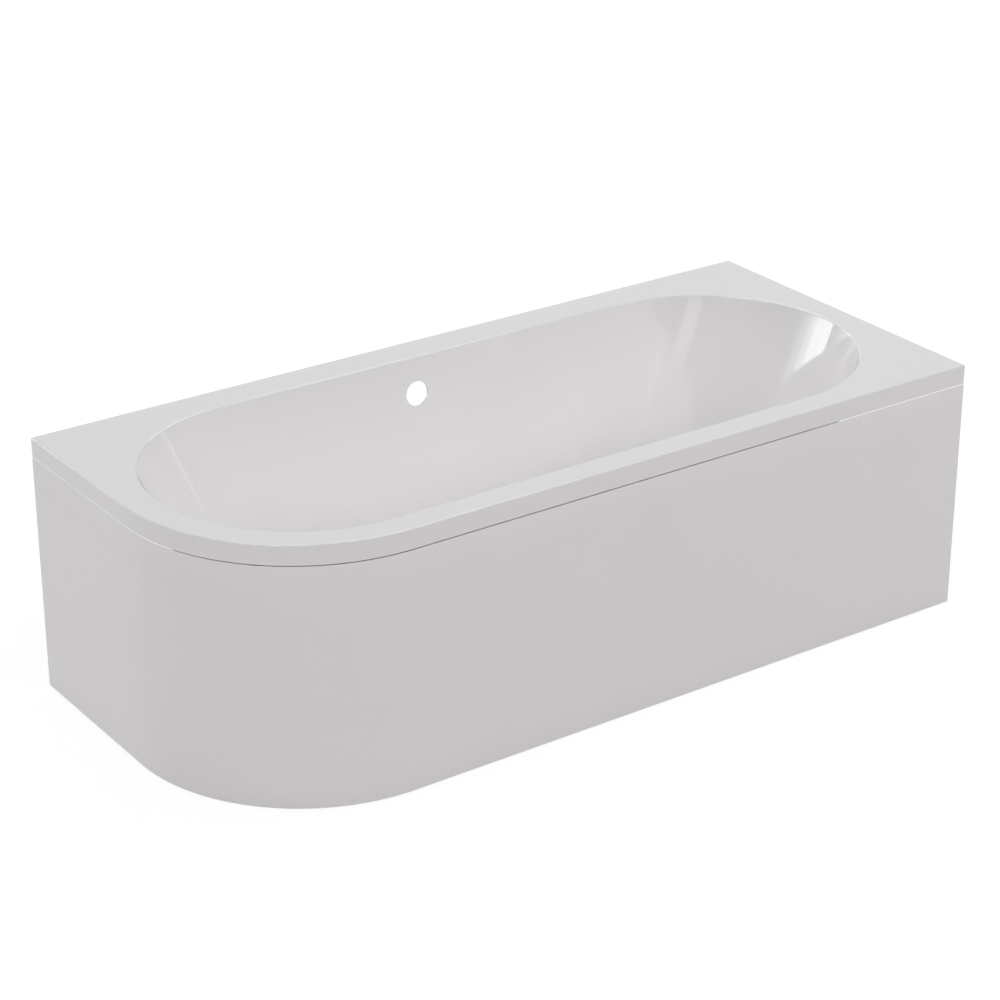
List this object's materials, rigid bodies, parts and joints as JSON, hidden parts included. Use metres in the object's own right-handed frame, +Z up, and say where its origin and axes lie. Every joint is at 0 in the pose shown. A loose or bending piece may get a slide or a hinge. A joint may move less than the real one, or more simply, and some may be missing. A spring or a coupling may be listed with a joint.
{
  "type": "asymmetric bathtub",
  "caption": "White acrylic bath with one rounded front corner, an oval basin, a flat deck, a one-piece wrap-round side panel that pulls off and screw-adjusted feet.",
  "frame": {"origin": "on the floor under the middle of the bath's plan", "axes": "+X along the bath to its square end, +Y to the wall behind it, +Z up"},
  "size_m": [1.7, 0.75, 0.534],
  "materials": {
    "acrylic": "glossy white",
    "glass_fibre": "rough laminate",
    "chipboard": "raw",
    "softwood": "sawn",
    "galvanised_steel": "galvanised",
    "spring_steel": "zinc plated",
    "zinc_steel": "zinc plated",
    "foot_plastic": "moulded"
  },
  "bodies": {
    "tub": {"bath_shell": "acrylic", "fibreglass_backing": "glass_fibre", "base_board": "chipboard", "rim_batten_front": "softwood", "rim_batten_left": "softwood", "rim_batten_back": "softwood", "rim_batten_right": "softwood", "rim_block_corner": "softwood", "leg_cradle_left": "galvanised_steel", "leg_cradle_right": "galvanised_steel", "panel_clip_1": "spring_steel", "panel_clip_2": "spring_steel", "panel_clip_3": "spring_steel", "panel_clip_4": "spring_steel", "wall_bracket_back_1": "galvanised_steel", "wall_bracket_back_2": "galvanised_steel", "wall_bracket_end": "galvanised_steel", "panel_foot_bracket_left": "galvanised_steel", "panel_foot_bracket_right": "galvanised_steel", "captive_nuts": "zinc_steel", "lock_nuts": "zinc_steel", "foot_bracket_bolts": "zinc_steel", "cradle_screws": "zinc_steel", "clip_screws": "zinc_steel", "bracket_screws": "zinc_steel"},
    "panel": {"side_panel": "acrylic", "panel_backing": "glass_fibre", "panel_rail": "softwood"},
    "pad_1": {"foot_pad_1": "foot_plastic"},
    "rod_1": {"foot_rod_1": "zinc_steel"},
    "pad_2": {"foot_pad_2": "foot_plastic"},
    "rod_2": {"foot_rod_2": "zinc_steel"},
    "pad_3": {"foot_pad_3": "foot_plastic"},
    "rod_3": {"foot_rod_3": "zinc_steel"},
    "pad_4": {"foot_pad_4": "foot_plastic"},
    "rod_4": {"foot_rod_4": "zinc_steel"}
  },
  "joints": [
    {"name": "panel_pull", "type": "slide", "parent": "tub", "child": "panel", "axis": [-0.7071, -0.7071, 0], "range_m": [0, 0.2]},
    {"name": "foot_1_travel", "type": "slide", "parent": "tub", "child": "pad_1", "axis": [0, 0, -1], "range_m": [-0.01, 0.018]},
    {"name": "foot_1_turn", "type": "hinge", "parent": "pad_1", "child": "rod_1", "pos_m": [-0.42, -0.235, 0.05], "axis": [0, 0, -1], "range_deg": [-2077.71, 3723.43]},
    {"name": "foot_2_travel", "type": "slide", "parent": "tub", "child": "pad_2", "axis": [0, 0, -1], "range_m": [-0.01, 0.018]},
    {"name": "foot_2_turn", "type": "hinge", "parent": "pad_2", "child": "rod_2", "pos_m": [-0.42, 0.215, 0.05], "axis": [0, 0, -1], "range_deg": [-2077.71, 3723.43]},
    {"name": "foot_3_travel", "type": "slide", "parent": "tub", "child": "pad_3", "axis": [0, 0, -1], "range_m": [-0.01, 0.018]},
    {"name": "foot_3_turn", "type": "hinge", "parent": "pad_3", "child": "rod_3", "pos_m": [0.42, -0.235, 0.05], "axis": [0, 0, -1], "range_deg": [-2077.71, 3723.43]},
    {"name": "foot_4_travel", "type": "slide", "parent": "tub", "child": "pad_4", "axis": [0, 0, -1], "range_m": [-0.01, 0.018]},
    {"name": "foot_4_turn", "type": "hinge", "parent": "pad_4", "child": "rod_4", "pos_m": [0.42, 0.215, 0.05], "axis": [0, 0, -1], "range_deg": [-2077.71, 3723.43]}
  ],
  "couplings": [
    {"joint": "foot_1_turn", "follows": "foot_1_travel", "rad_per_m": 3590.4},
    {"joint": "foot_2_turn", "follows": "foot_2_travel", "rad_per_m": 3590.4},
    {"joint": "foot_3_turn", "follows": "foot_3_travel", "rad_per_m": 3590.4},
    {"joint": "foot_4_turn", "follows": "foot_4_travel", "rad_per_m": 3590.4}
  ]
}
